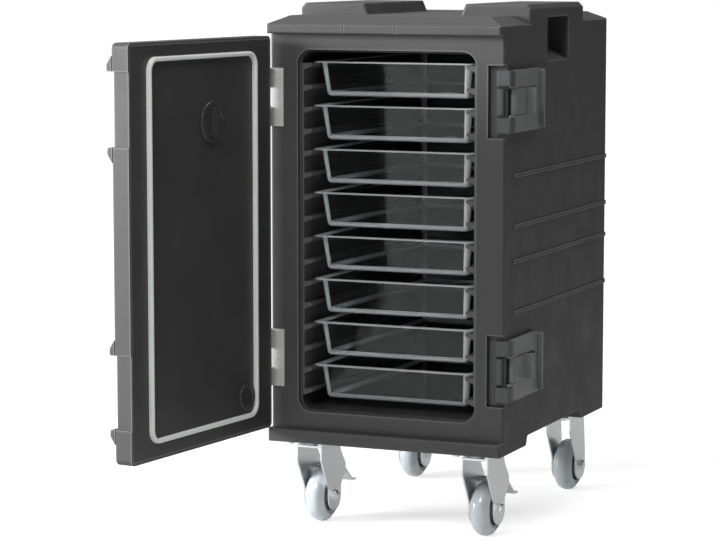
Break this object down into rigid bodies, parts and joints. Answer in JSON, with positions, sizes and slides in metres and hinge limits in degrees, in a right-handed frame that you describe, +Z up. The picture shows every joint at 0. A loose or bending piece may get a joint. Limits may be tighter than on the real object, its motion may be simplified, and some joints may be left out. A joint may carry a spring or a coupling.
{
  "type": "insulated food pan carrier",
  "caption": "Front-loading insulated cabinet on swivel casters, with a hinged gasketed door, corner latches and clear food pans that slide on side ledges.",
  "frame": {"origin": "on the floor under the middle of the cabinet, half-way between its sides and between its front strip and its back", "axes": "+Z up, -Y towards the door side, +X to the right of someone who faces the door opening"},
  "size_m": [0.5748, 1.0953, 0.985],
  "materials": {
    "shell_plastic": "matte",
    "liner_plastic": "satin",
    "foam": "matte",
    "fitting_plastic": "satin",
    "latch_plastic": "satin",
    "gasket_rubber": "satin",
    "stainless": "satin",
    "zinc": "satin",
    "tyre_rubber": "satin",
    "hub_plastic": "satin",
    "clear_plastic": "gloss"
  },
  "bodies": {
    "cabinet": {"outer_shell": "shell_plastic", "insulation": "foam", "inner_liner": "liner_plastic", "left_runners": "liner_plastic", "right_runners": "liner_plastic", "cabinet_screws": "stainless", "upper_hinge_body_leaf": "stainless", "upper_hinge_pin": "stainless", "upper_latch_base": "latch_plastic", "upper_lever_pins": "stainless", "lower_hinge_body_leaf": "stainless", "lower_hinge_pin": "stainless", "lower_latch_base": "latch_plastic", "lower_lever_pins": "stainless", "front_left_caster_head": "zinc", "front_right_caster_head": "zinc", "rear_left_caster_head": "zinc", "rear_right_caster_head": "zinc", "caster_bolts": "zinc"},
    "door": {"door_shell": "shell_plastic", "door_insulation": "foam", "door_inner_panel": "liner_plastic", "door_gasket": "gasket_rubber", "fill_plug": "fitting_plastic", "door_screws": "stainless", "upper_hinge_door_leaf": "stainless", "lower_hinge_door_leaf": "stainless"},
    "vent": {"vent_knob": "fitting_plastic"},
    "upper_lever": {"upper_latch_lever": "latch_plastic", "upper_hook_pin": "stainless"},
    "upper_hook": {"upper_latch_hook": "latch_plastic"},
    "lower_lever": {"lower_latch_lever": "latch_plastic", "lower_hook_pin": "stainless"},
    "lower_hook": {"lower_latch_hook": "latch_plastic"},
    "front_left_caster": {"front_left_fork": "zinc", "front_left_axle": "zinc"},
    "front_left_wheel": {"front_left_tyre": "tyre_rubber", "front_left_hub": "hub_plastic"},
    "front_right_caster": {"front_right_fork": "zinc", "front_right_axle": "zinc"},
    "front_right_wheel": {"front_right_tyre": "tyre_rubber", "front_right_hub": "hub_plastic"},
    "rear_left_caster": {"rear_left_fork": "zinc", "rear_left_axle": "zinc"},
    "rear_left_wheel": {"rear_left_tyre": "tyre_rubber", "rear_left_hub": "hub_plastic"},
    "rear_right_caster": {"rear_right_fork": "zinc", "rear_right_axle": "zinc"},
    "rear_right_wheel": {"rear_right_tyre": "tyre_rubber", "rear_right_hub": "hub_plastic"},
    "front_left_brake": {"front_left_brake_pedal": "zinc"},
    "front_right_brake": {"front_right_brake_pedal": "zinc"},
    "pan_1_body": {"pan_1": "clear_plastic"},
    "pan_2_body": {"pan_2": "clear_plastic"},
    "pan_3_body": {"pan_3": "clear_plastic"},
    "pan_4_body": {"pan_4": "clear_plastic"},
    "pan_5_body": {"pan_5": "clear_plastic"},
    "pan_6_body": {"pan_6": "clear_plastic"},
    "pan_7_body": {"pan_7": "clear_plastic"},
    "pan_8_body": {"pan_8": "clear_plastic"}
  },
  "joints": [
    {"name": "door_swing", "type": "hinge", "parent": "cabinet", "child": "door", "pos_m": [-0.235, -0.3065, 0.56], "axis": [0, 0, -1], "range_deg": [-96.6, 83]},
    {"name": "vent_turn", "type": "hinge", "parent": "door", "child": "vent", "pos_m": [-0.24267, -0.51198, 0.779], "axis": [0.9934, -0.1149, 0], "range_deg": [0, 90]},
    {"name": "upper_lever_swing", "type": "hinge", "parent": "cabinet", "child": "upper_lever", "pos_m": [0.2375, -0.274, 0.813], "axis": [0, 0, -1], "range_deg": [0, 75]},
    {"name": "upper_hook_fold", "type": "hinge", "parent": "upper_lever", "child": "upper_hook", "pos_m": [0.2375, -0.26, 0.813], "axis": [0, 0, 1], "range_deg": [-180, 0]},
    {"name": "lower_lever_swing", "type": "hinge", "parent": "cabinet", "child": "lower_lever", "pos_m": [0.2375, -0.274, 0.324], "axis": [0, 0, -1], "range_deg": [0, 75]},
    {"name": "lower_hook_fold", "type": "hinge", "parent": "lower_lever", "child": "lower_hook", "pos_m": [0.2375, -0.26, 0.324], "axis": [0, 0, 1], "range_deg": [-180, 0]},
    {"name": "front_left_swivel", "type": "hinge", "parent": "cabinet", "child": "front_left_caster", "pos_m": [-0.167, -0.236, 0.14], "axis": [0, 0, 1], "continuous": true},
    {"name": "front_left_roll", "type": "hinge", "parent": "front_left_caster", "child": "front_left_wheel", "pos_m": [-0.167, -0.198, 0.051], "axis": [1, 0, 0], "continuous": true},
    {"name": "front_right_swivel", "type": "hinge", "parent": "cabinet", "child": "front_right_caster", "pos_m": [0.167, -0.236, 0.14], "axis": [0, 0, 1], "continuous": true},
    {"name": "front_right_roll", "type": "hinge", "parent": "front_right_caster", "child": "front_right_wheel", "pos_m": [0.167, -0.198, 0.051], "axis": [1, 0, 0], "continuous": true},
    {"name": "rear_left_swivel", "type": "hinge", "parent": "cabinet", "child": "rear_left_caster", "pos_m": [-0.167, 0.236, 0.14], "axis": [0, 0, 1], "continuous": true},
    {"name": "rear_left_roll", "type": "hinge", "parent": "rear_left_caster", "child": "rear_left_wheel", "pos_m": [-0.167, 0.274, 0.051], "axis": [1, 0, 0], "continuous": true},
    {"name": "rear_right_swivel", "type": "hinge", "parent": "cabinet", "child": "rear_right_caster", "pos_m": [0.167, 0.236, 0.14], "axis": [0, 0, 1], "continuous": true},
    {"name": "rear_right_roll", "type": "hinge", "parent": "rear_right_caster", "child": "rear_right_wheel", "pos_m": [0.167, 0.274, 0.051], "axis": [1, 0, 0], "continuous": true},
    {"name": "front_left_brake_press", "type": "hinge", "parent": "front_left_caster", "child": "front_left_brake", "pos_m": [-0.167, -0.154, 0.097], "axis": [-1, 0, 0], "range_deg": [0, 14]},
    {"name": "front_right_brake_press", "type": "hinge", "parent": "front_right_caster", "child": "front_right_brake", "pos_m": [0.167, -0.154, 0.097], "axis": [-1, 0, 0], "range_deg": [0, 14]},
    {"name": "pan_1_slide", "type": "slide", "parent": "cabinet", "child": "pan_1_body", "axis": [0, -1, 0], "range_m": [0, 0.4]},
    {"name": "pan_2_slide", "type": "slide", "parent": "cabinet", "child": "pan_2_body", "axis": [0, -1, 0], "range_m": [0, 0.4]},
    {"name": "pan_3_slide", "type": "slide", "parent": "cabinet", "child": "pan_3_body", "axis": [0, -1, 0], "range_m": [0, 0.4]},
    {"name": "pan_4_slide", "type": "slide", "parent": "cabinet", "child": "pan_4_body", "axis": [0, -1, 0], "range_m": [0, 0.4]},
    {"name": "pan_5_slide", "type": "slide", "parent": "cabinet", "child": "pan_5_body", "axis": [0, -1, 0], "range_m": [0, 0.4]},
    {"name": "pan_6_slide", "type": "slide", "parent": "cabinet", "child": "pan_6_body", "axis": [0, -1, 0], "range_m": [0, 0.4]},
    {"name": "pan_7_slide", "type": "slide", "parent": "cabinet", "child": "pan_7_body", "axis": [0, -1, 0], "range_m": [0, 0.4]},
    {"name": "pan_8_slide", "type": "slide", "parent": "cabinet", "child": "pan_8_body", "axis": [0, -1, 0], "range_m": [0, 0.4]}
  ]
}
